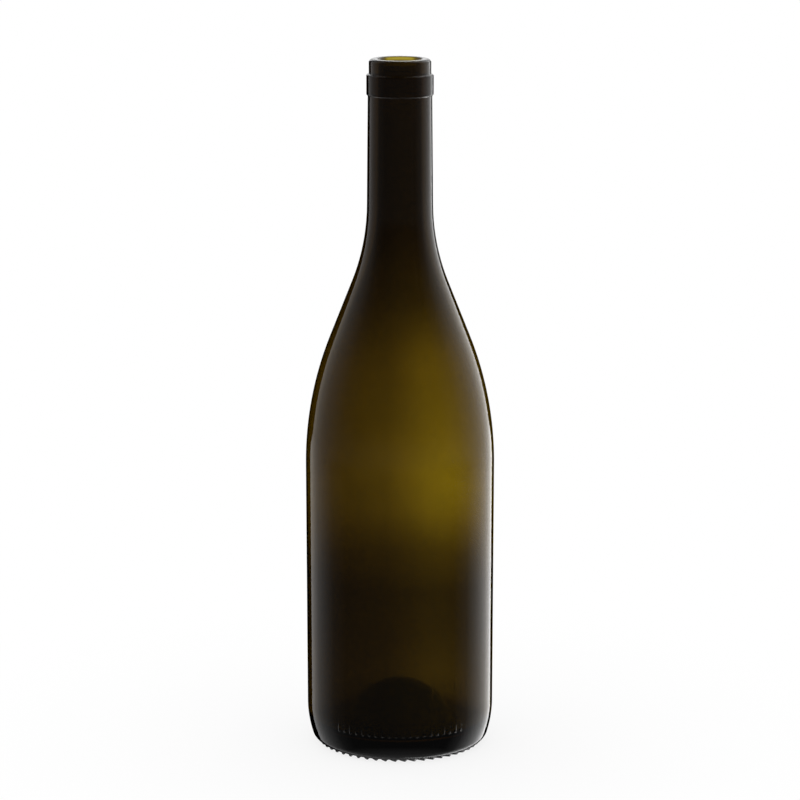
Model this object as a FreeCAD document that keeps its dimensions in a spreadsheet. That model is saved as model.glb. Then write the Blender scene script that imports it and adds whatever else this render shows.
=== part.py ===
# An empty wine bottle with sloping shoulders, a flat-banded cork finish, a deep punt and a
# knurled bearing ring. It is one piece of glass: a half section turned about the bottle's axis,
# with bars under its base and a row of plain raised marks on its heel, in front and behind. The
# origin is on the table, under the middle of the punt, with +Z up and the front towards -Y.
import FreeCAD, Part
import Sketcher
import math
import os
from types import SimpleNamespace
from FreeCAD import Placement, Rotation, Vector

# The driving dimensions: name, value and meaning. Lengths are millimetres, angles degrees.
SIZES = (
    ("total_height", 300.0, "table to the top of the lip"),
    ("body_diameter", 81.8, "widest diameter, at the foot of the shoulder"),
    ("wall_flare", 0.13, "outward lean of the straight wall"),
    ("body_wall", 3.3, "glass thickness of the wall and the shoulder"),
    ("shoulder_radius", 150.0, "outside rounding from the wall to the shoulder's slope"),
    ("shoulder_slope", 21.7, "lean of the shoulder's straight part"),
    ("neck_root_radius", 91.0, "outside rounding from the slope to the neck"),
    ("neck_length", 47.0, "straight neck under the band"),
    ("neck_taper", 0.55, "inward lean of the straight neck"),
    ("bore_diameter", 18.5, "bore at the mouth"),
    ("bore_taper", 0.5, "lean of the bore's wall, which widens downwards"),
    ("bore_root_radius", 84.0, "inside rounding from the bore to the shoulder's slope"),
    ("lip_wall", 4.0, "glass thickness of the lip"),
    ("lip_height", 6.4, "height of the lip above the band"),
    ("lip_rounding", 1.6, "outer rounding of the lip's top"),
    ("mouth_rounding", 0.9, "inner rounding of the lip's top"),
    ("lip_setback", 1.05, "width of the shelf between the lip and the band's face"),
    ("band_height", 9.2, "height of the flat band"),
    ("band_stand", 0.6, "how far the band stands out from the neck"),
    ("band_foot_lean", 40.0, "upward lean of the band's underside"),
    ("band_foot_rise", 0.8, "band's foot to the lower edge of its flat face"),
    ("band_edge_rounding", 0.8, "rounding of the band's two edges"),
    ("band_corner_rounding", 0.2, "rounding of the corners between the band, neck and lip"),
    ("heel_height", 17.8, "table to the foot of the straight wall"),
    ("heel_radius", 46.5, "large outside rounding under the wall"),
    ("toe_radius", 4.8, "small outside rounding down to the bearing ring"),
    ("bearing_inset", 11.1, "body's edge to the inside of the bearing ring"),
    ("punt_depth", 22.1, "table to the top of the punt"),
    ("punt_lean", 32.0, "lean of the punt's flank"),
    ("punt_foot_radius", 11.0, "rounding from the flank to the bearing ring"),
    ("base_wall", 5.2, "glass thickness of the punt's dome and flank"),
    ("floor_height", 7.8, "table to the lowest part of the inside"),
    ("inner_foot_radius", 4.5, "inside rounding from the punt's flank to the gutter"),
    ("inner_heel_radius", 6.5, "inside rounding from the gutter to the wall"),
    ("bar_count", 53, "bars of the knurling under the bearing ring"),
    ("bar_inset", 6.75, "body's edge to the bars' middles"),
    ("bar_length", 4.6, "length of one bar"),
    ("bar_radius", 0.85, "radius of one bar's round section"),
    ("bar_height", 0.65, "how far the bars stand below the bearing ring"),
    ("bar_slant", 45.0, "turn of each bar from the ring's tangent"),
    ("mark_count", 10, "upright ribs in a row of marks, each with a pair of beads after it"),
    ("mark_step", 8.5, "turn from one rib of a row to the next"),
    ("mark_level", 14.3, "table to the marks' middles"),
    ("mark_radius", 0.8, "radius of a rib's section and of a bead"),
    ("mark_inset", 0.95, "body's edge to the marks' centres"),
    ("rib_length", 4.4, "length of one rib"),
    ("bead_spacing", 2.6, "distance between the middles of a pair's two beads"),
)
GLASS_DENSITY = 2.5  # grams for each cubic centimetre
SHEET = "Sizes"
VALUES = {name: value for name, value, meaning in SIZES}
START, END, MIDDLE = 1, 2, 3
ORIGIN = (-1, START)
UPRIGHT_AXIS = -2
LEVEL_AXIS = -1

# The half section's lines and arcs in the order they are walked: from the top of the punt out
# to the bearing ring, up the outside, over the lip, down the inside and back along the axis.
WALK = (
    "punt_dome", "punt_flank", "punt_foot", "base", "toe", "heel", "wall", "shoulder", "slope",
    "neck_root", "neck", "under_band", "band_foot", "band_low_edge", "band_face",
    "band_top_edge", "shelf", "over_shelf", "lip_face", "lip_edge", "crown", "mouth_edge",
    "bore", "bore_root", "inner_slope", "inner_shoulder", "inner_wall", "inner_heel", "gutter",
    "inner_foot", "inner_flank", "inner_dome", "axis",
)
# The arcs that round a corner between two straight sides, and their radii.
ROUNDINGS = {
    "punt_foot": "punt_foot_radius",
    "shoulder": "shoulder_radius",
    "neck_root": "neck_root_radius",
    "under_band": "band_corner_rounding",
    "band_low_edge": "band_edge_rounding",
    "band_top_edge": "band_edge_rounding",
    "over_shelf": "band_corner_rounding",
    "lip_edge": "lip_rounding",
    "mouth_edge": "mouth_rounding",
    "bore_root": "bore_root_radius",
    "inner_shoulder": "shoulder_radius - body_wall",
    "inner_heel": "inner_heel_radius",
    "inner_foot": "inner_foot_radius",
}


def make_sheet(doc):
    """Writes the driving dimensions as plain numbers, one to a row."""
    sheet = doc.addObject("Spreadsheet::Sheet", SHEET)
    for row, (name, value, meaning) in enumerate(SIZES, start=1):
        sheet.set(f"A{row}", name)
        sheet.set(f"B{row}", str(value))
        sheet.setAlias(f"B{row}", name)
        sheet.set(f"C{row}", meaning)
    doc.recompute()


def in_sheet(formula):
    """A formula of sizes, with the sheet's name put before each size."""
    words = formula.split()
    return " ".join(f"{SHEET}.{word}" if word in VALUES else word for word in words)


def worth(formula):
    """The value of a formula that only adds and takes away sizes."""
    words = formula.split()
    total = VALUES[words[0]]
    for sign, word in zip(words[1::2], words[2::2]):
        total += VALUES[word] if sign == "+" else -VALUES[word]
    return total


def origin_item(body, role):
    """One of the body's own origin planes or axes."""
    return next(item for item in body.Origin.OriginFeatures if item.Role == role)


def heading(degrees):
    """The unit vector at an angle from the sketch's horizontal axis."""
    angle = math.radians(degrees)
    return Vector(math.cos(angle), math.sin(angle), 0)


def left_of(way):
    """A direction turned a quarter to the left."""
    return Vector(-way.y, way.x, 0)


def right_of(way):
    """A direction turned a quarter to the right."""
    return Vector(way.y, -way.x, 0)


class Side:
    """A straight side of an outline: a point that it passes and the way that it is walked."""

    def __init__(self, x, y, degrees):
        self.point = Vector(x, y, 0)
        self.way = heading(degrees)

    def at_level(self, y):
        """The side's point at a level."""
        return self.point + self.way * ((y - self.point.y) / self.way.y)

    def beside(self, distance):
        """A point that far to the side's left."""
        return self.point + left_of(self.way) * distance

    def rounding(self, other, radius):
        """The centre, start and end of the arc that rounds the corner with another side."""
        across = left_of(other.way)
        reach = (other.point - self.point).dot(across) / self.way.dot(across)
        corner = self.point + self.way * reach
        turn = math.acos(self.way.dot(other.way))
        run = radius * math.tan(turn / 2)
        start = corner - self.way * run
        turns_left = self.way.cross(other.way).z > 0
        inward = left_of(self.way) if turns_left else right_of(self.way)
        return start + inward * radius, start, corner + other.way * run


class Outline:
    """A sketch that is walked as one closed chain of lines and arcs."""

    def __init__(self, body, name, role):
        self.sketch = body.newObject("Sketcher::SketchObject", name)
        self.sketch.AttachmentSupport = [(origin_item(body, role), "")]
        self.sketch.MapMode = "FlatFace"
        self.steps = {}

    def line(self, name, start, end):
        number = self.sketch.addGeometry(Part.LineSegment(start, end), False)
        self.steps[name] = SimpleNamespace(number=number, enters=START, leaves=END)

    def arc(self, name, centre, start, end):
        """An arc of less than half a turn, from start to end. Its own start is the clockwise end."""
        circle = Part.Circle(centre, Vector(0, 0, 1), (start - centre).Length)
        turns_left = (start - centre).cross(end - centre).z > 0
        first, last = (start, end) if turns_left else (end, start)
        shape = Part.ArcOfCircle(circle, circle.parameter(first), circle.parameter(last))
        number = self.sketch.addGeometry(shape, False)
        enters, leaves = (START, END) if turns_left else (END, START)
        self.steps[name] = SimpleNamespace(number=number, enters=enters, leaves=leaves)

    def mark(self, name, place):
        """A point that only helps to place the rest."""
        number = self.sketch.addGeometry(Part.Point(place), True)
        self.steps[name] = SimpleNamespace(number=number, enters=START, leaves=START)

    def edge_name(self, name):
        """The name by which a feature picks this line of the sketch as its axis."""
        return f"Edge{self.steps[name].number + 1}"

    def close(self, sharp=()):
        """Ties each step to the next: touching after the steps named in sharp, else tangent."""
        names = list(self.steps)
        for name, following in zip(names, names[1:] + names[:1]):
            kind = "Coincident" if name in sharp else "Tangent"
            self.tie(kind, *self.leaving(name), *self.entering(following))

    def entering(self, name):
        return self.steps[name].number, self.steps[name].enters

    def leaving(self, name):
        return self.steps[name].number, self.steps[name].leaves

    def centre(self, name):
        return self.steps[name].number, MIDDLE

    def whole(self, name):
        return (self.steps[name].number,)

    def tie(self, kind, *places):
        self.sketch.addConstraint(Sketcher.Constraint(kind, *places))

    def as_drawn(self, kind, places):
        """The value that a dimension has in the sketch as drawn."""
        shape = self.sketch.Geometry[places[0]]
        if kind == "Radius":
            return shape.Radius
        if kind == "Angle":
            run = shape.EndPoint - shape.StartPoint
            return math.atan2(run.y, run.x)
        run = self.sketch.getPoint(*places[2:]) - self.sketch.getPoint(*places[:2])
        return {"DistanceX": run.x, "DistanceY": run.y, "Distance": run.Length}[kind]

    def size(self, kind, name, places, formula):
        """A dimension that follows a formula of the sheet's sizes."""
        drawn = self.as_drawn(kind, places)
        number = self.sketch.addConstraint(Sketcher.Constraint(kind, *places, drawn))
        self.sketch.renameConstraint(number, name)
        self.sketch.setExpression(f"Constraints.{name}", in_sheet(formula))


def straight_sides(size):
    """The half section's straight sides, where the sizes put them."""
    edge = size.body_diameter / 2
    shelf = size.total_height - size.lip_height
    band_foot = shelf - size.band_height
    lip = size.bore_diameter / 2 + size.lip_wall
    band = lip + size.lip_setback

    neck = Side(band - size.band_stand, band_foot, 90 + size.neck_taper)
    neck.point = neck.at_level(band_foot - size.neck_length)
    root_centre = neck.beside(-size.neck_root_radius)
    slope = Side(root_centre.x, root_centre.y, 90 + size.shoulder_slope)
    slope.point = slope.beside(size.neck_root_radius)
    centre_line = slope.beside(size.shoulder_radius)
    run = (edge - size.shoulder_radius - centre_line.x) / slope.way.x
    shoulder_centre = centre_line + slope.way * run
    wall = Side(shoulder_centre.x, shoulder_centre.y, 90 - size.wall_flare)
    wall.point = wall.beside(-size.shoulder_radius)
    inner_slope_point = slope.beside(size.body_wall)
    inner_wall_point = wall.beside(size.body_wall)

    edge_centre = (band - size.band_edge_rounding, band_foot + size.band_foot_rise)
    underside = Side(*edge_centre, size.band_foot_lean)
    underside.point = underside.beside(-size.band_edge_rounding)

    foot_centre = (edge - size.bearing_inset, size.bar_height + size.punt_foot_radius)
    punt_flank = Side(*foot_centre, size.punt_lean - 90)
    punt_flank.point = punt_flank.beside(-size.punt_foot_radius)
    inner_flank_point = punt_flank.beside(size.base_wall)

    return {
        "punt_flank": punt_flank,
        "base": Side(0, size.bar_height, 0),
        "wall": wall,
        "slope": slope,
        "neck": neck,
        "band_foot": underside,
        "band_face": Side(band, 0, 90),
        "shelf": Side(0, shelf, 180),
        "lip_face": Side(lip, 0, 90),
        "crown": Side(0, size.total_height, 180),
        "bore": Side(size.bore_diameter / 2, size.total_height, size.bore_taper - 90),
        "inner_slope": Side(*inner_slope_point[:2], size.shoulder_slope - 90),
        "inner_wall": Side(*inner_wall_point[:2], -90 - size.wall_flare),
        "gutter": Side(0, size.floor_height, 180),
        "inner_flank": Side(*inner_flank_point[:2], 90 + size.punt_lean),
    }


def dome(flank, apex_level):
    """The centre, start and end of a domed top on the axis that runs into a leaning flank."""
    normal = left_of(flank.way)
    centre_level = (apex_level - flank.point.dot(normal)) / (1 - normal.y)
    centre = Vector(0, centre_level, 0)
    return centre, Vector(0, apex_level, 0), centre + normal * (apex_level - centre_level)


def section_arcs(sides, size):
    """The centre, start and end of each of the half section's arcs."""
    arcs = {}
    for name, radius in ROUNDINGS.items():
        place = WALK.index(name)
        before, after = sides[WALK[place - 1]], sides[WALK[place + 1]]
        arcs[name] = before.rounding(after, worth(radius))

    centre, apex, foot = dome(sides["punt_flank"], size.punt_depth)
    thicker = Vector(0, size.base_wall, 0)
    inner_foot = foot + left_of(sides["punt_flank"].way) * size.base_wall
    arcs["punt_dome"] = (centre, apex, foot)
    arcs["inner_dome"] = (centre, inner_foot, apex + thicker)

    wall_foot = sides["wall"].at_level(size.heel_height)
    heel_centre = wall_foot + left_of(sides["wall"].way) * size.heel_radius
    toe_level = size.bar_height + size.toe_radius
    gap = size.heel_radius - size.toe_radius
    out = math.sqrt(gap**2 - (heel_centre.y - toe_level) ** 2)
    toe_centre = Vector(heel_centre.x + out, toe_level, 0)
    joint = heel_centre + (toe_centre - heel_centre) * (size.heel_radius / gap)
    arcs["toe"] = (toe_centre, Vector(toe_centre.x, size.bar_height, 0), joint)
    arcs["heel"] = (heel_centre, joint, wall_foot)
    return arcs


def draw_section(body):
    """The half section of the glass, drawn in place and then held by the sheet's sizes."""
    size = SimpleNamespace(**VALUES)
    arcs = section_arcs(straight_sides(size), size)
    outline = Outline(body, "HalfSection", "XZ_Plane")
    for place, name in enumerate(WALK):
        if name in arcs:
            outline.arc(name, *arcs[name])
        else:
            following = WALK[(place + 1) % len(WALK)]
            outline.line(name, arcs[WALK[place - 1]][2], arcs[following][1])
    outline.close(sharp=("inner_dome", "axis"))
    for level in ("shelf", "crown", "base", "gutter"):
        outline.tie("Horizontal", *outline.whole(level))
    for upright in ("band_face", "lip_face"):
        outline.tie("Vertical", *outline.whole(upright))
    outline.tie("PointOnObject", *outline.centre("punt_dome"), UPRIGHT_AXIS)
    outline.tie("PointOnObject", *outline.entering("punt_dome"), UPRIGHT_AXIS)
    outline.tie("PointOnObject", *outline.leaving("inner_dome"), UPRIGHT_AXIS)
    outline.tie("Coincident", *outline.centre("inner_dome"), *outline.centre("punt_dome"))
    outline.tie("Coincident", *outline.centre("inner_shoulder"), *outline.centre("shoulder"))
    size_radii(outline)
    size_leans(outline)
    size_levels(outline)
    size_widths(outline)
    return outline


def size_radii(outline):
    for name, radius in ROUNDINGS.items():
        outline.size("Radius", f"{name}_arc", outline.whole(name), radius)
    outline.size("Radius", "toe_arc", outline.whole("toe"), "toe_radius")
    outline.size("Radius", "heel_arc", outline.whole("heel"), "heel_radius")


def size_leans(outline):
    leans = {
        "punt_flank": "punt_lean - 90",
        "wall": "90 - wall_flare",
        "slope": "90 + shoulder_slope",
        "neck": "90 + neck_taper",
        "band_foot": "band_foot_lean",
        "bore": "bore_taper - 90",
        "inner_slope": "shoulder_slope - 90",
        "inner_wall": "-90 - wall_flare",
        "inner_flank": "90 + punt_lean",
    }
    for name, lean in leans.items():
        outline.size("Angle", f"{name}_lean", outline.whole(name), lean)


def size_levels(outline):
    finish = "total_height - lip_height - band_height"
    levels = (
        ("punt_top", outline.entering("punt_dome"), "punt_depth"),
        ("inner_top", outline.leaving("inner_dome"), "punt_depth + base_wall"),
        ("base_level", outline.entering("base"), "bar_height"),
        ("wall_foot", outline.entering("wall"), "heel_height"),
        ("neck_foot", outline.entering("neck"), f"{finish} - neck_length"),
        ("band_face_level", outline.entering("band_face"), f"{finish} + band_foot_rise"),
        ("shelf_level", outline.entering("shelf"), "total_height - lip_height"),
        ("crown_level", outline.entering("crown"), "total_height"),
        ("floor_level", outline.entering("gutter"), "floor_height"),
    )
    for name, place, level in levels:
        outline.size("DistanceY", name, ORIGIN + place, level)


def size_widths(outline):
    lip = "bore_diameter / 2 + lip_wall"
    widths = (
        ("body_edge", outline.centre("shoulder"), ORIGIN, "shoulder_radius - body_diameter / 2"),
        ("bearing_edge", ORIGIN, outline.entering("base"), "body_diameter / 2 - bearing_inset"),
        ("lip_edge_width", ORIGIN, outline.entering("lip_face"), lip),
        ("band_edge_width", ORIGIN, outline.entering("band_face"), f"{lip} + lip_setback"),
        ("band_step", outline.leaving("neck"), outline.entering("band_face"), "band_stand"),
        ("mouth_edge_width", ORIGIN, outline.entering("bore"), "bore_diameter / 2"),
    )
    for name, start, end, width in widths:
        outline.size("DistanceX", name, start + end, width)


def draw_capsule(outline, middle, degrees, length, radius):
    """Half of a round-ended bar: its centre line, a quarter-round end, its side and an end."""
    along = heading(degrees)
    side = left_of(along) * radius
    start, end = middle - along * (length / 2), middle + along * (length / 2)
    near, far = start + along * radius, end - along * radius
    outline.line("centre_line", start, end)
    outline.arc("far_end", far, end, far + side)
    outline.line("side", far + side, near + side)
    outline.arc("near_end", near, near + side, start)
    outline.close(sharp=("centre_line", "near_end"))
    for end_arc in ("far_end", "near_end"):
        outline.tie("PointOnObject", *outline.centre(end_arc), *outline.whole("centre_line"))
    outline.tie("Equal", *outline.whole("far_end"), *outline.whole("near_end"))
    outline.mark("middle", middle)
    ends = outline.entering("centre_line") + outline.leaving("centre_line")
    outline.tie("Symmetric", *ends, *outline.entering("middle"))


def size_capsule(outline, length, radius):
    """The length and radius of a round-ended bar, from the sheet."""
    ends = outline.entering("centre_line") + outline.leaving("centre_line")
    outline.size("Distance", "length", ends, length)
    outline.size("Radius", "radius", outline.whole("far_end"), radius)


def turned(body, name, outline, line):
    """A full turn of an outline about one of its own lines, or about the upright axis."""
    solid = body.newObject("PartDesign::Revolution", name)
    solid.Profile = outline.sketch
    solid.ReferenceAxis = (outline.sketch, [line])
    solid.Angle = 360
    body.Document.recompute()
    return solid


def ringed(body, name, features, count):
    """Copies of features, spaced evenly round the bottle's axis."""
    ring = body.newObject("PartDesign::PolarPattern", name)
    ring.Originals = features
    ring.Axis = (origin_item(body, "Z_Axis"), [""])
    ring.Angle = 360
    ring.setExpression("Occurrences", in_sheet(count))
    body.Tip = ring
    body.Document.recompute()


def in_rows(body, name, features):
    """Copies of features along a row of marks, and that row again on the bottle's other side."""
    along = body.Document.addObject("PartDesign::PolarPattern", f"{name}Row")
    along.Axis = (origin_item(body, "Z_Axis"), [""])
    along.setExpression("Angle", in_sheet("( mark_count - 1 ) * mark_step"))
    along.setExpression("Occurrences", in_sheet("mark_count"))
    across = body.Document.addObject("PartDesign::PolarPattern", f"{name}Sides")
    across.Axis = (origin_item(body, "Z_Axis"), [""])
    across.Angle = 360
    across.Occurrences = 2
    rows = body.newObject("PartDesign::MultiTransform", name)
    rows.Originals = features
    rows.Transformations = [along, across]
    body.Tip = rows
    body.Document.recompute()


def add_bars(body):
    """The knurling: slanting round-ended bars, half sunk in the bearing ring."""
    size = SimpleNamespace(**VALUES)
    outline = Outline(body, "BarSection", "XY_Plane")
    outline.sketch.setExpression("AttachmentOffset.Base.z", in_sheet("bar_radius"))
    middle = Vector(size.body_diameter / 2 - size.bar_inset, 0, 0)
    draw_capsule(outline, middle, 90 - size.bar_slant, size.bar_length, size.bar_radius)
    outline.tie("PointOnObject", *outline.entering("middle"), LEVEL_AXIS)
    place = "body_diameter / 2 - bar_inset"
    outline.size("DistanceX", "ring", ORIGIN + outline.entering("middle"), place)
    outline.size("Angle", "slant", outline.whole("centre_line"), "90 - bar_slant")
    size_capsule(outline, "bar_length", "bar_radius")
    bar = turned(body, "Bar", outline, outline.edge_name("centre_line"))
    ringed(body, "Knurling", [bar], "bar_count")


def mark_turn(steps):
    """A formula of the turn to a place that many steps after the first rib of the rear row."""
    return f"( 90 - ( mark_count / 2 - 0.25 - {steps} ) * mark_step ) * 1 deg"


def add_marks(body):
    """The heel's plain marks: in each row an upright rib and a pair of beads, over and over."""
    size = SimpleNamespace(**VALUES)
    ring = size.body_diameter / 2 - size.mark_inset
    outline = Outline(body, "RibSection", "XZ_Plane")
    outline.sketch.AttachmentOffset = Placement(Vector(), Rotation(Vector(0, 1, 0), 1))
    outline.sketch.setExpression("AttachmentOffset.Rotation.Angle", in_sheet(mark_turn(0)))
    draw_capsule(outline, Vector(ring, size.mark_level, 0), 90, size.rib_length, size.mark_radius)
    outline.tie("Vertical", *outline.whole("centre_line"))
    middle = ORIGIN + outline.entering("middle")
    outline.size("DistanceX", "ring", middle, "body_diameter / 2 - mark_inset")
    outline.size("DistanceY", "level", middle, "mark_level")
    size_capsule(outline, "rib_length", "mark_radius")
    rib = turned(body, "Rib", outline, outline.edge_name("centre_line"))
    in_rows(body, "Ribs", [rib])
    beads = [add_bead(body, "LowBead", "-"), add_bead(body, "HighBead", "+")]
    in_rows(body, "Beads", beads)


def add_bead(body, name, sign):
    """A bead half a step round from the rib, below or above the marks' middle level."""
    bead = body.newObject("PartDesign::AdditiveSphere", name)
    bead.AttachmentSupport = [(origin_item(body, "XY_Plane"), "")]
    bead.MapMode = "FlatFace"
    ring = in_sheet("( body_diameter / 2 - mark_inset )")
    turn = in_sheet(mark_turn(0.5))
    bead.setExpression("AttachmentOffset.Base.x", f"{ring} * cos( {turn} )")
    bead.setExpression("AttachmentOffset.Base.y", f"{ring} * sin( {turn} )")
    bead.setExpression("AttachmentOffset.Base.z", in_sheet(f"mark_level {sign} bead_spacing / 2"))
    bead.setExpression("Radius", in_sheet("mark_radius"))
    body.Document.recompute()
    return bead


def check(doc, body):
    """Stops if any object failed or the glass isn't one sound solid."""
    failed = [item.Name for item in doc.Objects if {"Invalid", "Error"} & set(item.State)]
    shape = body.Shape
    sound = not shape.isNull() and shape.isValid() and len(shape.Solids) == 1
    if failed or not sound:
        raise RuntimeError(f"The bottle failed: {failed or 'not one sound solid'}")


def main():
    doc = FreeCAD.newDocument("WineBottle")
    make_sheet(doc)
    body = doc.addObject("PartDesign::Body", "bottle")
    body.Label = "bottle"
    section = draw_section(body)
    turned(body, "Glass", section, "V_Axis")
    add_bars(body)
    add_marks(body)
    doc.recompute()
    check(doc, body)
    os.makedirs("parts", exist_ok=True)
    body.Shape.exportStep(f"parts/{body.Label}.step")
    grams = body.Shape.Volume / 1000 * GLASS_DENSITY
    print(f"{body.Label}: {body.Shape.Volume / 1000:.1f} cubic centimetres, {grams:.0f} g")


main()
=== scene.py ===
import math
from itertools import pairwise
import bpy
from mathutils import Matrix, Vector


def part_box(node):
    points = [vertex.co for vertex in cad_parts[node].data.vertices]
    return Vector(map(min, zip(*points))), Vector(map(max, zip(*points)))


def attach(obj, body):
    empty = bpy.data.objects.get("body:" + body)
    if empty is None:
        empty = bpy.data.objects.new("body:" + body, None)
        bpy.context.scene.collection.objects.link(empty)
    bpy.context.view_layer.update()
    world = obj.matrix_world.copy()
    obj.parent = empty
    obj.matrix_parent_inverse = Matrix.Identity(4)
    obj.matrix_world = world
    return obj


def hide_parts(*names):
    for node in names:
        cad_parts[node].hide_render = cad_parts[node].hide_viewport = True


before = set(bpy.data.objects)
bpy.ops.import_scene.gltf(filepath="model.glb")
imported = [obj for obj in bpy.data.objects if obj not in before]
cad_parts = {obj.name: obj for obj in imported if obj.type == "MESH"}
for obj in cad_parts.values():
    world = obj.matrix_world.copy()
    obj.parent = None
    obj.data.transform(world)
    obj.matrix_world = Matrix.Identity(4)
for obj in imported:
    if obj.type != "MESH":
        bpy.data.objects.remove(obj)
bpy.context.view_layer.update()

# An empty wine bottle of dark olive glass on a pale floor. The glass is one closed skin, turned
# from its half section, with knurling under the base and plain raised marks round the heel.
# Lengths are metres in the object's frame. MM turns the sizes below into metres.
from types import SimpleNamespace

import bmesh
import bpy
from mathutils import Matrix, Vector, noise

MM = 0.001
LOW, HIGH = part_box("bottle")

# The half section's sizes in millimetres and degrees, as the bottle is built.
SIZE = SimpleNamespace(
    height=(HIGH.z - LOW.z) / MM,
    edge=(HIGH.x - LOW.x) / MM / 2,
    wall_flare=0.13,
    body_wall=3.3,
    shoulder_radius=150.0,
    shoulder_slope=21.7,
    neck_root_radius=91.0,
    neck_length=47.0,
    neck_taper=0.55,
    bore_radius=9.25,
    bore_taper=0.5,
    bore_root_radius=84.0,
    lip_wall=4.0,
    lip_height=6.4,
    lip_rounding=1.6,
    mouth_rounding=0.9,
    lip_setback=1.05,
    band_height=9.2,
    band_stand=0.6,
    band_foot_lean=40.0,
    band_foot_rise=0.8,
    band_edge_rounding=0.8,
    band_corner_rounding=0.2,
    heel_height=17.8,
    heel_radius=46.5,
    toe_radius=4.8,
    bearing_inset=11.1,
    punt_depth=22.1,
    punt_lean=32.0,
    punt_foot_radius=11.0,
    base_wall=5.2,
    floor_height=7.8,
    inner_foot_radius=4.5,
    inner_heel_radius=6.5,
)

# The knurling's bars and the heel's marks, in millimetres and degrees.
BAR = SimpleNamespace(count=53, inset=6.75, length=4.6, radius=0.85, slant=45.0, height=0.65)
MARK = SimpleNamespace(
    count=10, step=8.5, level=14.3, radius=0.8, inset=0.95, rib=4.4, beads=2.6,
)

# The mesh: steps of the full turn, and the spacing of rings along the outline in millimetres.
TURN_STEPS = 212
FINE_CUTS = 2
COARSE_PITCH = 5.0
ARC_PITCH = 3.6
FINE_PITCH = 0.4
ARC_STEP = math.radians(5.0)
END_SUPPORT = 0.3

# How much the inside skin wanders, in millimetres, over bumps of two sizes.
RIPPLE = SimpleNamespace(depth=0.14, scale=34.0, small_depth=0.03, small_scale=11.0)

# The glass. Seams are in millimetres; cloud and patches are noise, by their scale a metre.
GLASS = SimpleNamespace(ior=1.52, colour=(0.72, 0.652, 0.05, 1), density=880.0)
SEAM = SimpleNamespace(azimuth=21.0, width=0.35, height=0.05)
SWELL = SimpleNamespace(scale=60.0, height=0.02)
CLOUD = SimpleNamespace(scale=28.0, change=0.4, least=0.8)
PATCH = SimpleNamespace(scale=45.0, detail=4.0, low=0.45, high=0.75, rise=0.035, least=0.02)

# Painted shade: how much light the glass's colour is painted to let through, from its level and from its
# left to its right. The neck and the lower body are painted darker, the middle of the body lighter, and
# the left side darker than the right, to stand for light and shade.
PAINTED_SHADE_BY_LEVEL = (
    (0.0, 0.02), (0.004, 0.02), (0.02, 0.19), (0.04, 0.17), (0.058, 0.1), (0.076, 0.11), (0.094, 0.54),
    (0.112, 1.0), (0.13, 0.78), (0.17, 0.53), (0.2, 0.11), (0.245, 0.06), (0.3, 0.06),
)
PAINTED_SHADE_ACROSS = (
    (-0.04, 0.25), (-0.02, 0.28), (-0.006, 0.36), (0.002, 0.56), (0.012, 0.88), (0.02, 1.0), (0.04, 1.0),
)
# How much browner the painted shade turns where it lets less light through.
BROWNER = 0.18

# Painted shade that darkens the punt's dome, and painted light that paints the far side of the mouth
# clear, in millimetres.
PAINTED_PUNT_SHADE = SimpleNamespace(near=32.0, far=36.0, low=29.0, high=45.0, painted_clearness=0.1)
PAINTED_MOUTH_LIGHT = SimpleNamespace(low=297.8, high=298.8, near=5.5, far=8.0)

# The lit sides that the glass reflects: degrees round from behind, and how bright.
SIDE_LIGHTS = (
    (-180, 0.016), (-110, 0.016), (-90, 0.035), (-60, 0.14), (-40, 0.25), (-37.5, 0.28), (-37, 0.0),
    (27, 0.0), (27.5, 1.0), (30, 1.0), (36, 0.72), (50, 0.43), (70, 0.22), (90, 0.06), (110, 0.016),
    (180, 0.016),
)

# Strengths, and the heights and turns of a reflected ray between which each light comes in.
STUDIO = SimpleNamespace(
    side_strength=2.8, side_spread=0.13, side_dimming=0.25, fill=1.0,
    high=(-0.19, -0.13),
    room_middle=0.03, room_top=(-0.07, 0.08),
    room_low=0.01, room_bottom=(0.25, 0.3),
    front=(-0.2, 0.5),
    behind=1.1, behind_lift=(-0.1, -0.04), behind_turn=(0.72, 0.85), behind_curve=1.5,
    below=0.3, below_drop=(0.6, 0.9),
)
FLOOR = SimpleNamespace(radius=1.0, near=0.06, far=0.25, white=0.82, colour=(0.9, 0.9, 0.9, 1))
# The dark disc of painted shade under the bottle, and how far it lies below the floor.
SHADE = SimpleNamespace(drop=0.0001, colour=(0.01, 0.01, 0.01, 1))
LAMP = SimpleNamespace(place=(0, 0.25, 1.1), aim=(0, 0, 0.15), size=0.8, strength=0.6)
VIEW = SimpleNamespace(lens=141.66, distance=1.334, height=0.4317, tilt=11.83)
WHITE = (1, 1, 1, 1)


# ---------------------------------------------------------------- the outline of the glass

def heading(degrees):
    angle = math.radians(degrees)
    return Vector((math.cos(angle), math.sin(angle)))


def left_of(way):
    return Vector((-way.y, way.x))


class Side:
    """A straight side of the outline: a point on it, the way that it is walked, and its rings."""

    def __init__(self, r, z, degrees, pitch=COARSE_PITCH):
        self.point = Vector((r, z))
        self.degrees = degrees
        self.way = heading(degrees)
        self.pitch = pitch

    def beside(self, distance, degrees=None):
        """A side that far to the left, walked the same way unless another is given."""
        place = self.point + left_of(self.way) * distance
        return Side(*place, self.degrees if degrees is None else degrees, self.pitch)

    def meets(self, other):
        across = left_of(other.way)
        reach = (other.point - self.point).dot(across) / self.way.dot(across)
        return self.point + self.way * reach

    def at_level(self, z):
        return self.point + self.way * ((z - self.point.y) / self.way.y)


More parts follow.
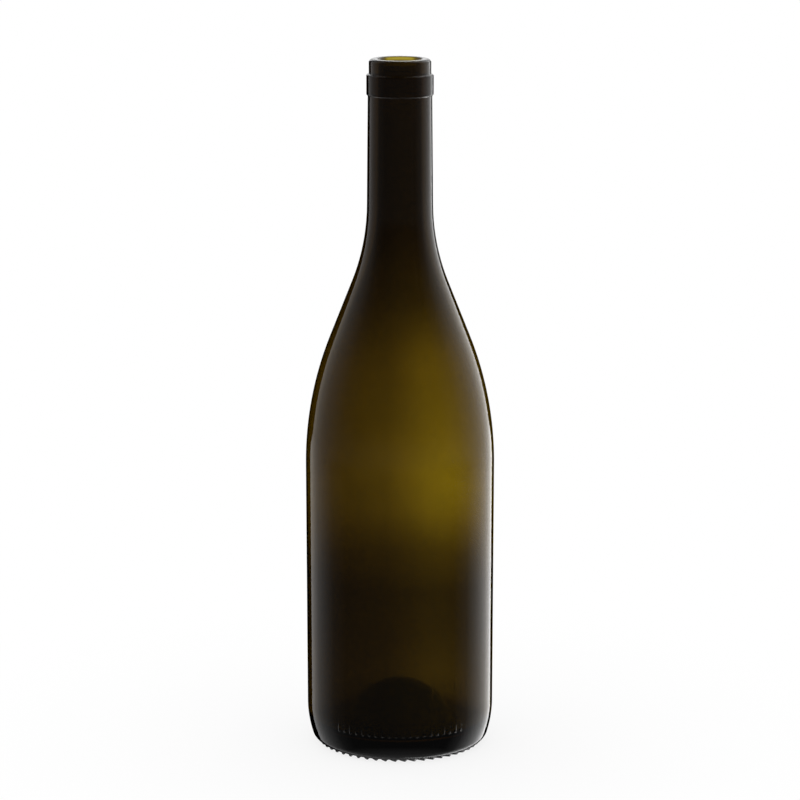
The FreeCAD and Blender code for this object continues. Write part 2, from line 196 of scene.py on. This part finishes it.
def outline_sides():
    """The outline's sides in the order walked, each with the rounding that leads to the next."""
    s = SIZE
    shelf = s.height - s.lip_height
    band_foot = shelf - s.band_height
    lip = s.bore_radius + s.lip_wall
    band = lip + s.lip_setback

    neck = Side(band - s.band_stand, band_foot, 90 + s.neck_taper)
    neck_foot = Side(*neck.at_level(band_foot - s.neck_length), neck.degrees)
    root_centre = neck_foot.beside(-s.neck_root_radius, 90 + s.shoulder_slope)
    slope = root_centre.beside(s.neck_root_radius)
    centre_line = slope.beside(s.shoulder_radius)
    centre = centre_line.meets(Side(s.edge - s.shoulder_radius, 0, 90))
    wall = Side(*centre, 90 - s.wall_flare).beside(-s.shoulder_radius)

    edge_centre = Side(band - s.band_edge_rounding, band_foot + s.band_foot_rise, s.band_foot_lean)
    underside = edge_centre.beside(-s.band_edge_rounding)

    bearing = BAR.height
    flank = Side(s.edge - s.bearing_inset, bearing + s.punt_foot_radius, s.punt_lean - 90)
    flank = flank.beside(-s.punt_foot_radius)
    base = Side(0, bearing, 0, FINE_PITCH)
    toe_to_heel = heel_tangent(wall)
    punt_top = Side(0, s.punt_depth, 0)
    inner_top = Side(0, s.punt_depth + s.base_wall, 180)
    inner_flank = flank.beside(s.base_wall, 90 + s.punt_lean)

    return (
        (punt_top, dome_radius(punt_top, flank)),
        (flank, s.punt_foot_radius),
        (base, s.toe_radius),
        (toe_to_heel, s.heel_radius),
        (wall, s.shoulder_radius),
        (slope, s.neck_root_radius),
        (neck, s.band_corner_rounding),
        (underside, s.band_edge_rounding),
        (Side(band, 0, 90), s.band_edge_rounding),
        (Side(0, shelf, 180), s.band_corner_rounding),
        (Side(lip, 0, 90), s.lip_rounding),
        (Side(0, s.height, 180), s.mouth_rounding),
        (Side(s.bore_radius, s.height, s.bore_taper - 90), s.bore_root_radius),
        (slope.beside(s.body_wall, s.shoulder_slope - 90), s.shoulder_radius - s.body_wall),
        (wall.beside(s.body_wall, -90 - s.wall_flare), s.inner_heel_radius),
        (Side(0, s.floor_height, 180), s.inner_foot_radius),
        (inner_flank, dome_radius(inner_flank, inner_top)),
        (inner_top, 0),
    )


def heel_tangent(wall):
    """The side that touches both the toe's rounding and the heel's, where they join."""
    s = SIZE
    foot = Side(*wall.at_level(s.heel_height), wall.degrees)
    heel_centre = foot.beside(s.heel_radius).point
    toe_level = BAR.height + s.toe_radius
    gap = s.heel_radius - s.toe_radius
    drop = heel_centre.y - toe_level
    toe_centre = Vector((heel_centre.x + math.sqrt(gap**2 - drop**2), toe_level))
    outward = (toe_centre - heel_centre).normalized()
    joint = heel_centre + outward * s.heel_radius
    return Side(*joint, math.degrees(math.atan2(outward.y, outward.x)) + 90, FINE_PITCH)


def dome_radius(side, following):
    """The rounding of a dome that runs from the axis into a leaning flank."""
    corner = side.meets(following)
    return corner.x / math.tan(side.way.angle(following.way) / 2)


def arc_points(side, following, radius):
    """The rounding between two sides, as points from where it starts to where it ends."""
    corner = side.meets(following)
    turn = side.way.angle_signed(following.way) * -1
    run = radius * math.tan(abs(turn) / 2)
    start = corner - side.way * run
    centre = start + left_of(side.way) * math.copysign(radius, turn)
    length = radius * abs(turn)
    if side.pitch == FINE_PITCH:
        steps = math.ceil(length / FINE_PITCH)
    else:
        by_turn = min(abs(turn) / ARC_STEP, length / FINE_PITCH)
        steps = max(3, math.ceil(max(by_turn, length / ARC_PITCH)))
    arm = start - centre
    return [centre + Matrix.Rotation(turn * n / steps, 2) @ arm for n in range(steps + 1)]


def straight_points(start, end, pitch):
    """Points inside a straight run, with one close to each end to hold the rounding's shading."""
    run = end - start
    if run.length < 3 * END_SUPPORT:
        return []
    steps = max(1, math.ceil(run.length / pitch))
    shares = [n / steps for n in range(1, steps)]
    support = END_SUPPORT / run.length
    inner = [share for share in shares if support * 2 < share < 1 - support * 2]
    return [start + run * share for share in (support, *inner, 1 - support)]


def outline():
    """The half section from the top of the punt round to the inside of its dome."""
    sides = outline_sides()
    points = [Vector((0, SIZE.punt_depth))]
    for (side, radius), (following, _) in pairwise(sides):
        arc = arc_points(side, following, radius)
        if (arc[0] - points[-1]).length > END_SUPPORT / 10:
            points += straight_points(points[-1], arc[0], side.pitch)
            points.append(arc[0])
        points += arc[1:]
    return points


# ---------------------------------------------------------------- new objects

def add_object(name, data):
    item = bpy.data.objects.new(name, data)
    bpy.context.scene.collection.objects.link(item)
    return item


def add_mesh(name, shape):
    """Turns a finished bmesh into an object."""
    mesh = bpy.data.meshes.new(name)
    shape.to_mesh(mesh)
    shape.free()
    return add_object(name, mesh)


# ---------------------------------------------------------------- the glass as a closed skin

def turned_skin():
    """The outline turned a full circle about the upright axis, in millimetres."""
    skin = bmesh.new()
    chain = [skin.verts.new((point.x, 0, point.y)) for point in outline()]
    chain[0].co.x = chain[-1].co.x = 0
    edges = [skin.edges.new(pair) for pair in pairwise(chain)]
    bmesh.ops.spin(
        skin, geom=chain + edges, cent=(0, 0, 0), axis=(0, 0, 1), dvec=(0, 0, 0),
        angle=math.tau, steps=TURN_STEPS, use_merge=True,
    )
    bmesh.ops.remove_doubles(skin, verts=skin.verts, dist=0.001)
    bmesh.ops.recalc_face_normals(skin, faces=skin.faces)
    return skin


def radius_of(place):
    return math.hypot(place.x, place.y)


def round_out(skin):
    """Moves vertices that lie on a step's chord out to the true circle."""
    step = math.tau / TURN_STEPS
    for vertex in skin.verts:
        turn = math.atan2(vertex.co.y, vertex.co.x) % step - step / 2
        stretch = math.cos(turn) / math.cos(step / 2)
        vertex.co.x *= stretch
        vertex.co.y *= stretch


def split_rings(skin):
    """Shorter steps round the rings that carry the knurling and the marks."""
    inner = SIZE.edge - BAR.inset - BAR.length / 2 - BAR.radius
    top = MARK.level + MARK.rib / 2 + 2 * MARK.radius

    def is_fine(edge):
        a, b = (vertex.co for vertex in edge.verts)
        level = abs(a.z - b.z) < 0.0001 and a.z < top
        same_ring = abs(radius_of(a) - radius_of(b)) < 0.0001
        outside = edge.link_faces[0].normal.dot(Vector((a.x, a.y, -SIZE.edge))) > 0
        return level and same_ring and outside and radius_of(a) > inner

    skin.normal_update()
    rings = [edge for edge in skin.edges if is_fine(edge)]
    bmesh.ops.subdivide_edges(skin, edges=rings, cuts=FINE_CUTS, use_grid_fill=True)
    round_out(skin)


def beside_mark(place):
    """How far a place on the heel is from the nearest rib or bead's centre line."""
    step = math.radians(MARK.step)
    step_length = step * (SIZE.edge - MARK.inset)
    first_rib = math.pi / 2 - (MARK.count / 2 - 0.25) * step
    along = (math.atan2(place.y, place.x) % math.pi - first_rib) / step
    last = MARK.count - 1
    off_rib = along - min(max(round(along), 0), last)
    off_bead = along - min(max(math.floor(along), 0), last) - 0.5
    up = abs(place.z - MARK.level)
    past_rib = max(0, up - MARK.rib / 2 + MARK.radius)
    to_rib = math.hypot(off_rib * step_length, past_rib)
    to_bead = math.hypot(off_bead * step_length, up - MARK.beads / 2)
    return min(to_rib, to_bead)


def split_marks(skin):
    """A finer mesh where the marks stand."""
    reach = MARK.radius + 0.25
    ring = SIZE.edge - MARK.inset

    def is_near(face):
        middle = face.calc_center_median()
        return radius_of(middle) > ring and beside_mark(middle) < reach

    edges = [edge for edge in skin.edges if any(is_near(face) for face in edge.link_faces)]
    bmesh.ops.subdivide_edges(skin, edges=edges, cuts=1, use_grid_fill=True)
    round_out(skin)


def raise_marks(skin):
    """The heel's ribs and beads: round humps that stand out of the glass."""
    ring = SIZE.edge - MARK.inset
    for vertex in skin.verts:
        place = vertex.co
        radius = radius_of(place)
        gap = beside_mark(place)
        if radius > ring and gap < MARK.radius:
            hump = ring + math.sqrt(MARK.radius**2 - gap**2)
            if hump > radius:
                vertex.co.x *= hump / radius
                vertex.co.y *= hump / radius


def beside_bar(place):
    """How far a place under the base is from the centre line of the nearest slanting bar."""
    step = math.tau / BAR.count
    turn = (math.atan2(place.y, place.x) + step / 2) % step - step / 2
    radius = radius_of(place)
    nearest = math.inf
    for shift in (-step, 0, step):
        out = radius * math.cos(turn + shift) - (SIZE.edge - BAR.inset)
        round_ = radius * math.sin(turn + shift)
        slant = math.radians(BAR.slant)
        along = out * math.sin(slant) + round_ * math.cos(slant)
        across = out * math.cos(slant) - round_ * math.sin(slant)
        past = max(0, abs(along) - BAR.length / 2 + BAR.radius)
        nearest = min(nearest, math.hypot(across, past))
    return nearest


def raise_bars(skin):
    """The knurling: slanting bars that stand down from the bearing ring to the table."""
    top = BAR.height + BAR.radius * 2
    for vertex in skin.verts:
        gap = beside_bar(vertex.co) if vertex.co.z < top else math.inf
        if gap < BAR.radius:
            vertex.co.z = min(vertex.co.z, BAR.radius - math.sqrt(BAR.radius**2 - gap**2))


def unevenness(place, scale):
    """Soft hollows and swells, from -1 to 1."""
    return noise.noise(Vector((place.x, place.y, place.z * 0.4)) / scale)


def ripple_inside(skin):
    """The inside of blown glass is never quite true: the wall's thickness wanders a little."""
    skin.normal_update()
    for vertex in skin.verts:
        place = vertex.co
        radius = radius_of(place)
        inward = vertex.normal.x * place.x + vertex.normal.y * place.y < 0
        if inward and SIZE.heel_height < place.z < SIZE.height - SIZE.neck_length and radius > 1:
            swell = RIPPLE.depth * unevenness(place, RIPPLE.scale)
            swell += RIPPLE.small_depth * unevenness(place, RIPPLE.small_scale)
            vertex.co.x *= 1 + swell / radius
            vertex.co.y *= 1 + swell / radius


def blow_bottle():
    skin = turned_skin()
    split_rings(skin)
    split_marks(skin)
    raise_marks(skin)
    raise_bars(skin)
    ripple_inside(skin)
    bmesh.ops.scale(skin, vec=(MM, MM, MM), verts=skin.verts)
    for face in skin.faces:
        face.smooth = True
    return add_mesh("bottle_glass", skin)


# ---------------------------------------------------------------- shading

class Wire:
    """A socket that a node gives out. Arithmetic on it adds Math nodes."""

    def __init__(self, shading, socket):
        self.shading = shading
        self.socket = socket

    def maths(self, operation, *values):
        return self.shading.add("Math", {"operation": operation}, dict(enumerate(values)))[0]

    def __add__(self, other):
        return self.maths("ADD", self, other)

    def __sub__(self, other):
        return self.maths("SUBTRACT", self, other)

    def __mul__(self, other):
        return self.maths("MULTIPLY", self, other)

    def __truediv__(self, other):
        return self.maths("DIVIDE", self, other)

    def __rsub__(self, other):
        return self.maths("SUBTRACT", other, self)

    def __pow__(self, other):
        return self.maths("POWER", self, other)

    __radd__ = __add__
    __rmul__ = __mul__

    def at_least(self, other):
        return self.maths("MAXIMUM", self, other)

    def size(self):
        return self.maths("ABSOLUTE", self)


class Shading:
    """The nodes of one material or world."""

    def __init__(self, owner):
        owner.use_nodes = True
        self.tree = owner.node_tree
        self.tree.nodes.clear()

    def add(self, kind, settings=None, values=None):
        """Adds a node, sets it up, fills its inputs and returns its outputs."""
        node = self.tree.nodes.new(f"ShaderNode{kind}")
        for name, setting in (settings or {}).items():
            if name == "stops":
                self.set_stops(node.color_ramp, setting)
            else:
                setattr(node, name, setting)
        for name, value in (values or {}).items():
            if isinstance(value, Wire):
                self.tree.links.new(value.socket, node.inputs[name])
            else:
                node.inputs[name].default_value = value
        return Outputs(self, node)

    def set_stops(self, ramp, stops):
        while len(ramp.elements) < len(stops):
            ramp.elements.new(1)
        for element, (place, shade) in zip(ramp.elements, stops):
            element.position = place
            element.color = (*shade, 1) if isinstance(shade, tuple) else (shade, shade, shade, 1)

    def rise(self, value, low, high):
        """From 0 at low to 1 at high, easing in and out."""
        values = {"Value": value, "From Min": low, "From Max": high}
        return self.add("MapRange", {"interpolation_type": "SMOOTHSTEP"}, values)["Result"]

    def noise(self, place, scale, detail=1.0):
        values = {"Vector": place, "Scale": scale, "Detail": detail}
        return self.add("TexNoise", None, values)["Fac"]


class Outputs:
    """A node's outputs, by name or number."""

    def __init__(self, shading, node):
        self.shading = shading
        self.node = node

    def __getitem__(self, name):
        return Wire(self.shading, self.node.outputs[name])


def glass_material():
    """Dark olive bottle glass: it takes up light with depth, blue most and red least."""
    material = bpy.data.materials.new("olive_glass")
    shading = Shading(material)
    place = shading.add("TexCoord")["Object"]
    spot = shading.add("SeparateXYZ", None, {0: place})
    x, y, z = spot["X"], spot["Y"], spot["Z"]
    glass = shading.add("BsdfPrincipled", None, {
        "Base Color": cloud_and_painted_shade(shading, place, x, y, z),
        "Roughness": bloom(shading, place),
        "Normal": surface_relief(shading, place, x, y, z),
        "IOR": GLASS.ior,
        "Transmission Weight": 1.0,
    })["BSDF"]
    depth = shading.add("VolumeAbsorption", None, {
        "Color": GLASS.colour, "Density": GLASS.density,
    })["Volume"]
    shading.add("OutputMaterial", None, {"Surface": glass, "Volume": depth})
    return material


def painted_shade_stops(painted_clearness, low, high):
    """A ramp's stops for the painted shade. Light from behind goes through four skins, and each passes
    the root of its colour, so the colour is the root of the share. Where the painted shade lets less
    through, it is browner."""
    stops = []
    for place, share in painted_clearness:
        green = share * (1 - BROWNER + BROWNER * share)
        stops.append(((place - low) / (high - low), (share**0.5, green**0.5, share**0.5)))
    return stops


def cloud_and_painted_shade(shading, place, x, y, z):
    """Painted shade: the glass is painted clearest in the middle of the body, darker towards the neck
    and the base, darker on its left, and darkest over the punt's dome, with painted light that paints
    the far side of the mouth clear. A random cloud varies the tone.
    """
    height = SIZE.height * MM
    edge = SIZE.edge * MM
    # Painted shade by level, then from the left to the right.
    stops = painted_shade_stops(PAINTED_SHADE_BY_LEVEL, 0, height)
    along = shading.add("ValToRGB", {"stops": stops}, {0: z / height})["Color"]
    stops = painted_shade_stops(PAINTED_SHADE_ACROSS, -edge, edge)
    across = shading.add("ValToRGB", {"stops": stops}, {0: (x / edge + 1) * 0.5})["Color"]
    values = {0: 1.0, 6: along, 7: across}
    both = shading.add("Mix", {"data_type": "RGBA", "blend_type": "MULTIPLY"}, values)[2]
    cloud = shading.noise(place, CLOUD.scale) * CLOUD.change + CLOUD.least
    # Painted shade over the punt's dome.
    radius = (x * x + y * y) ** 0.5
    outside_punt = shading.rise(radius, PAINTED_PUNT_SHADE.near * MM, PAINTED_PUNT_SHADE.far * MM)
    above_punt = shading.rise(z, PAINTED_PUNT_SHADE.low * MM, PAINTED_PUNT_SHADE.high * MM)
    clear_of_punt_shade = outside_punt.at_least(above_punt)
    share = cloud * (clear_of_punt_shade * (1 - PAINTED_PUNT_SHADE.painted_clearness) + PAINTED_PUNT_SHADE.painted_clearness)
    painted_shade_colour = shading.add("VectorMath", {"operation": "SCALE"}, {0: both, "Scale": share})["Vector"]
    # Painted light: the far side of the mouth is painted clear.
    up = shading.rise(z, PAINTED_MOUTH_LIGHT.low * MM, PAINTED_MOUTH_LIGHT.high * MM)
    aside = shading.rise(x.size(), PAINTED_MOUTH_LIGHT.near * MM, PAINTED_MOUTH_LIGHT.far * MM)
    values = {0: up * (1 - aside), 6: painted_shade_colour, 7: WHITE}
    return shading.add("Mix", {"data_type": "RGBA"}, values)[2]


def bloom(shading, place):
    """Handled glass: almost clear, with faint duller patches."""
    patch = shading.noise(place, PATCH.scale, PATCH.detail)
    return shading.rise(patch, PATCH.low, PATCH.high) * PATCH.rise + PATCH.least


def surface_relief(shading, place, x, y, z):
    """The mould's two seams and the soft unevenness of the fire-polished skin."""
    turn = math.radians(SEAM.azimuth)
    off_seam = (x * math.cos(turn) + y * math.sin(turn)).size()
    seam = 1 - shading.rise(off_seam, 0.0, SEAM.width * MM)
    swell = shading.noise(place, SWELL.scale)
    relief = seam * SEAM.height * MM + swell * SWELL.height * MM
    return shading.add("Bump", None, {"Strength": 1.0, "Distance": 1.0, "Height": relief})["Normal"]


# ---------------------------------------------------------------- stage

def light_world():
    """A white surround for the eye and through the glass, and a dim studio with lit sides in
    the glass's reflections."""
    world = bpy.data.worlds.new("studio")
    bpy.context.scene.world = world
    shading = Shading(world)
    ray = shading.add("LightPath")
    way = shading.add("SeparateXYZ", None, {0: shading.add("TexCoord")["Generated"]})
    high = shading.rise(way["Z"], *STUDIO.high)
    azimuth = way["X"].maths("ARCTAN2", way["X"], way["Y"]) * (1 - high * STUDIO.side_spread)
    stops = [(degrees / 360 + 0.5, level) for degrees, level in SIDE_LIGHTS]
    sides = shading.add("ValToRGB", {"stops": stops}, {0: azimuth / math.tau + 0.5})["Color"]
    sides = shading.add("RGBToBW", None, {0: sides})[0]
    lamps = sides * (1 - high * STUDIO.side_dimming) * STUDIO.side_strength
    drop = 0 - way["Z"]
    middle = high * (1 - shading.rise(way["Z"], *STUDIO.room_top)) * STUDIO.room_middle
    room = middle + shading.rise(drop, *STUDIO.room_bottom) * STUDIO.room_low
    front = shading.rise(0 - way["Y"], *STUDIO.front)
    lift = way["Z"] - way["X"] * way["X"] * STUDIO.behind_curve
    behind = shading.rise(lift, *STUDIO.behind_lift) * shading.rise(way["Y"], *STUDIO.behind_turn)
    below = shading.rise(drop, *STUDIO.below_drop)
    reflected = (lamps + room * front).at_least(behind * STUDIO.behind)
    reflected = reflected.at_least(below * STUDIO.below)
    seen = ray["Is Camera Ray"].at_least(ray["Is Transmission Ray"])
    glossy = ray["Is Glossy Ray"]
    strength = seen + (1 - seen) * (glossy * reflected + (1 - glossy) * STUDIO.fill)
    values = {"Color": WHITE, "Strength": strength}
    surround = shading.add("Background", None, values)["Background"]
    shading.add("OutputWorld", None, {"Surface": surround})


def add_disc(name, radius, segments):
    disc = bmesh.new()
    bmesh.ops.create_circle(disc, cap_ends=True, segments=segments, radius=radius)
    return add_mesh(name, disc)


def lay_floor():
    """A pale floor that keeps the bottle's soft shadow and fades into the white surround."""
    floor = add_disc("floor", FLOOR.radius, 96)
    floor.visible_glossy = False
    floor.visible_transmission = False
    material = bpy.data.materials.new("pale_floor")
    shading = Shading(material)
    place = shading.add("TexCoord")["Object"]
    distance = shading.add("VectorMath", {"operation": "LENGTH"}, {0: place})["Value"]
    away = shading.rise(distance, FLOOR.near, FLOOR.far) * (1 - FLOOR.white) + FLOOR.white
    lit = shading.add("BsdfDiffuse", None, {"Color": FLOOR.colour})["BSDF"]
    white = shading.add("Emission", None, {"Color": WHITE, "Strength": 1.0})["Emission"]
    surface = shading.add("MixShader", None, {0: away, 1: lit, 2: white})["Shader"]
    shading.add("OutputMaterial", None, {"Surface": surface})
    floor.data.materials.append(material)


def shade_base():
    """A dark disc for the table right under the bottle, seen only through the glass: painted shade where
    the bottle keeps the light off, which shows dark through the punt.
    """
    shade = add_disc("shaded_table", (SIZE.edge - BAR.inset) * MM, 64)
    shade.location.z = -SHADE.drop
    shade.visible_camera = False
    shade.visible_glossy = False
    shade.visible_diffuse = False
    shade.visible_shadow = False
    material = bpy.data.materials.new("shaded_table")
    shading = Shading(material)
    dark = shading.add("BsdfDiffuse", None, {"Color": SHADE.colour})["BSDF"]
    shading.add("OutputMaterial", None, {"Surface": dark})
    shade.data.materials.append(material)


def hang_softbox():
    """A square lamp overhead that lights the floor but doesn't show in the glass."""
    lamp = bpy.data.lights.new("overhead", "AREA")
    lamp.size = LAMP.size
    lamp.energy = LAMP.strength * LAMP.size**2 * math.pi
    item = add_object("overhead", lamp)
    item.location = LAMP.place
    item.rotation_euler = (Vector(LAMP.aim) - item.location).to_track_quat("-Z", "Y").to_euler()
    item.visible_camera = False
    item.visible_transmission = False
    item.visible_glossy = False


def place_camera():
    camera = add_object("camera", bpy.data.cameras.new("camera"))
    camera.data.lens = VIEW.lens
    camera.location = (0, -VIEW.distance, VIEW.height)
    camera.rotation_euler = (math.radians(90 - VIEW.tilt), 0, 0)
    bpy.context.scene.camera = camera


bottle = blow_bottle()
bottle.data.materials.append(glass_material())
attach(bottle, "root")
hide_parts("bottle")

light_world()
lay_floor()
shade_base()
hang_softbox()
place_camera()

bpy.context.scene.view_settings.view_transform = "Standard"
